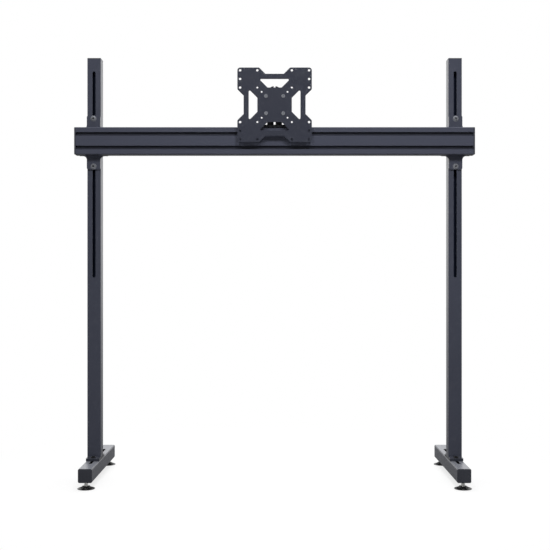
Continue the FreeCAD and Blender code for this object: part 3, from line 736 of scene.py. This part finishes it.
# Brackets: cross-shaped plates cut from 8 mm steel and coated, between the bar and each upright. Two
# flanged bolts go through each upright's slot into a nut bar, and four plain ones into nuts in the
# bar's rear grooves.
SLOT_BOLT_Z = 0.071
SLOT_BOLT_FLANGE = 0.0085
BAR_BOLT_X = 0.032
BAR_BOLT_Z = 0.020
dress(slate_coat, *(f"{side}_bar_bracket" for side in SIDES))
dress(grey_zinc, *(f"{side}_{row}_bolts" for side in SIDES for row in ("bracket", "bar")))
low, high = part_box("left_bar_bracket")
bracket_middle = middle_of(low, high)[2]
slot_seats = [(sign * STANCE, low[1] - LIFT, bracket_middle + level * SLOT_BOLT_Z)
              for sign in SIDES.values() for level in BOTH_WAYS]
flanged_head = button_head("flanged_m8_head", **M8_FORM, socket_shade=0.75, shade_reach=1.35,
                           flange=SLOT_BOLT_FLANGE)
set_heads("slot_bolt_heads", flanged_head, grey_zinc, slot_seats, FACING_FRONT, "crossbar", 2)
bpy.data.objects.remove(flanged_head)
rear_seats = [(sign * STANCE + hand * BAR_BOLT_X, high[1] + LIFT,
               bracket_middle + level * BAR_BOLT_Z)
              for sign in SIDES.values() for hand in BOTH_WAYS for level in BOTH_WAYS]
set_heads("bar_bolt_heads", m8_head, grey_zinc, rear_seats, FACING_BACK, "crossbar", 4)

# Screen mount: a steel base on the bar's top groove, with a forked upright plate welded to it. Both
# are coated near-black as painted shade, as are the tilt parts behind the screen plate.
MOUNT_PLATE = 0.005
MOUNT_BOLT_X = 0.033
FORK_PLATE = 0.005
FORK_FRONT = -0.0903
FORK_WELD_INNER = 0.004
FORK_WELD_OUTER = 0.021
FORK_WELD_STEP = 0.0014
FORK_WELD_RIPPLE = 0.002
# Painted shade: the mount, its welds and the tilt parts lie behind the screen plate, and their
# near-black coat stands for its shade.
shade_black_coat = powder_coat("mount_painted_shade", (0.012, 0.0125, 0.015, 1), top_dust_and_highlight=0.03)
dress(shade_black_coat, "mount_fork")
dress(grey_zinc, "mount_base_bolts")
low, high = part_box("mount_fork")
mount_top = low[2] + MOUNT_PLATE
mount_seats = [(hand * MOUNT_BOLT_X, bar_centre[1], mount_top + LIFT) for hand in BOTH_WAYS]
set_heads("mount_bolt_heads", m8_head, grey_zinc, mount_seats, FACING_UP, "screen_mount", 5)
bpy.data.objects.remove(m8_head)
runs = [[(hand * FORK_WELD_INNER, y, mount_top), (hand * FORK_WELD_OUTER, y, mount_top)]
        for y in (FORK_FRONT, FORK_FRONT + FORK_PLATE) for hand in BOTH_WAYS]
bead = weld_bead("fork_weld", runs, shade_black_coat, FORK_WELD_STEP, FORK_WELD_RIPPLE, 8)
new_piece("fork_welds", bead, shade_black_coat, "screen_mount")

# Tilt joint: a coated steel clevis bolted to the front of the fork, and a yoke on the back of the
# screen plate. The two turn on one plated pin.
# The clevis and yoke take the same near-black painted shade.
dress(shade_black_coat, "tilt_clevis", "tilt_yoke")
dress(grey_zinc, "clevis_bolts", "tilt_pin")

# Screen plate: 3 mm sheet steel, cut with windows, notches and the common hole patterns, then coated.
# Four M6 button-head screws hold it to the yoke.
M6_FORM = {"radius": 0.00555, "height": 0.003 + LIFT, "top": 0.0044,
           "socket": 0.00175, "depth": 0.001}
YOKE_SCREW = 0.025
plate_coat = powder_coat("plate_powder_coat", shade(SLATE, 0.65))
dress(plate_coat, "vesa_plate")
dress(grey_zinc, "yoke_screws")
low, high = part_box("vesa_plate")
plate_middle = middle_of(low, high)[2]
m6_head = button_head("m6_head", **M6_FORM, socket_shade=0.2)
screw_seats = [(hand * YOKE_SCREW, low[1] - LIFT, plate_middle + level * YOKE_SCREW)
               for hand in BOTH_WAYS for level in BOTH_WAYS]
set_heads("plate_screw_heads", m6_head, grey_zinc, screw_seats, FACING_FRONT, "screen_tilt", 6)
bpy.data.objects.remove(m6_head)


# Floor: a wide pale sheet that takes the soft shadow of the feet and fades to white further off. To
# the camera it is darker but glows, which makes the shadow fainter.
def eased(tree, value, start, end, least=0.0):
    """A soft step from the least value up to 1, as a value goes from the start to the end."""
    return add_node(tree, "ShaderNodeMapRange", {"interpolation_type": "SMOOTHSTEP"}, {
        "Value": value, "From Min": start, "From Max": end, "To Min": least, "To Max": 1.0})


WHITE = (1, 1, 1, 1)
FLOOR_HALF = 60
FLOOR_LEVEL = -0.0004
FLOOR_TONE = 0.3
FLOOR_TONE_SEEN = 0.13
FLOOR_GLOW = 0.77
FADE_STARTS = 0.5
FADE_ENDS = 1.0
floor_mesh = bpy.data.meshes.new("studio_floor")
corners = ((-1, -1), (1, -1), (1, 1), (-1, 1))
floor_mesh.from_pydata([(u * FLOOR_HALF, v * FLOOR_HALF, FLOOR_LEVEL) for u, v in corners],
                       [], [(0, 1, 2, 3)])
floor = bpy.data.objects.new("studio_floor", floor_mesh)
bpy.context.collection.objects.link(floor)
floor_white = bpy.data.materials.new("studio_floor_white")
floor_white.use_nodes = True
tree = floor_white.node_tree
tree.nodes.clear()
seen = add_node(tree, "ShaderNodeLightPath")
place = object_place(tree)
distance = add_node(tree, "ShaderNodeVectorMath", {"operation": "LENGTH"}, {0: place}, output=1)
far = eased(tree, distance, FADE_STARTS, FADE_ENDS)
pale = mix_colours(tree, seen, shade(WHITE, FLOOR_TONE), shade(WHITE, FLOOR_TONE_SEEN))
matt = add_node(tree, "ShaderNodeBsdfDiffuse", {}, {"Color": pale})
glow = add_node(tree, "ShaderNodeEmission", {}, {"Color": WHITE, "Strength": seen * FLOOR_GLOW})
near_floor = add_node(tree, "ShaderNodeAddShader", {}, {0: matt, 1: glow})
white = add_node(tree, "ShaderNodeEmission", {}, {"Color": WHITE, "Strength": seen})
both = add_node(tree, "ShaderNodeMixShader", {}, {0: far * seen, 1: near_floor, 2: white})
add_node(tree, "ShaderNodeOutputMaterial", {}, {"Surface": both})
floor_mesh.materials.append(floor_white)
floor.visible_glossy = False


# Light: a white studio, bright behind and above and dimmer in front and below. Two high softboxes and
# a low one stand in front, and a large one hangs overhead. The camera sees the studio as plain white,
# and so do reflections that find the backdrop.
def soft_lamp(name, place, target, size, watts):
    """A round softbox that shines from its place towards a target."""
    lamp = bpy.data.lights.new(name, "AREA")
    lamp.shape = "DISK"
    lamp.size = size
    lamp.energy = watts
    holder = bpy.data.objects.new(name, lamp)
    bpy.context.collection.objects.link(holder)
    holder.visible_glossy = False
    holder.location = place
    holder.rotation_euler = (Vector(target) - Vector(place)).to_track_quat("-Z", "Y").to_euler()


DIM_BELOW = 0.05
DIM_IN_FRONT = 0.06
world = bpy.data.worlds.new("white_studio")
bpy.context.scene.world = world
world.use_nodes = True
tree = world.node_tree
tree.nodes.clear()
direction = add_node(tree, "ShaderNodeTexCoord", output=0)
back = on_axis(tree, direction, "Y")
up = on_axis(tree, direction, "Z")
studio = eased(tree, up, -0.26, 0.2, DIM_BELOW) * eased(tree, back, -0.5, 0.5, DIM_IN_FRONT)
straight = add_node(tree, "ShaderNodeLightPath", output=0)
mirrored = add_node(tree, "ShaderNodeLightPath", output=3)
through = add_node(tree, "ShaderNodeLightPath", output=6)
backdrop = eased(tree, back, 0.2, 0.6) * eased(tree, up, -0.08, 0.14)
plain = straight.math("MAXIMUM", straight.math("MAXIMUM", straight, through), mirrored * backdrop)
sky = add_node(tree, "ShaderNodeBackground", {}, {
    "Color": WHITE, "Strength": studio + plain * (1 - studio)})
add_node(tree, "ShaderNodeOutputWorld", {}, {"Surface": sky})
soft_lamp("right_softbox", (0.33, -1.9, 1.7), (1.25, 0, 1.3), 0.4, 32)
soft_lamp("left_softbox", (-0.33, -1.9, 1.7), (-1.25, 0, 1.3), 0.4, 18.5)
soft_lamp("low_softbox", (0, -5, 0.3), (0, 0, 0.1), 0.6, 36)
soft_lamp("top_softbox", (0, 0.5, 4.2), (0, 0, 0), 3.5, 250)

# Camera: level and straight on, at the distance that gives the photograph's perspective. The lens
# follows from the picture's width and its focal length in pixels.
FOCAL_PIXELS = 980.7
IMAGE_PIXELS = 550
SENSOR = 36
CAMERA_PLACE = (0.0012, -2.980, 0.6103)
camera = bpy.data.cameras.new("front_camera")
camera.sensor_width = SENSOR
camera.lens = FOCAL_PIXELS / IMAGE_PIXELS * SENSOR
eye = bpy.data.objects.new("front_camera", camera)
bpy.context.collection.objects.link(eye)
eye.location = CAMERA_PLACE
eye.rotation_euler = (math.radians(90), 0, 0)
bpy.context.scene.camera = eye

bpy.context.scene.view_settings.view_transform = "Standard"
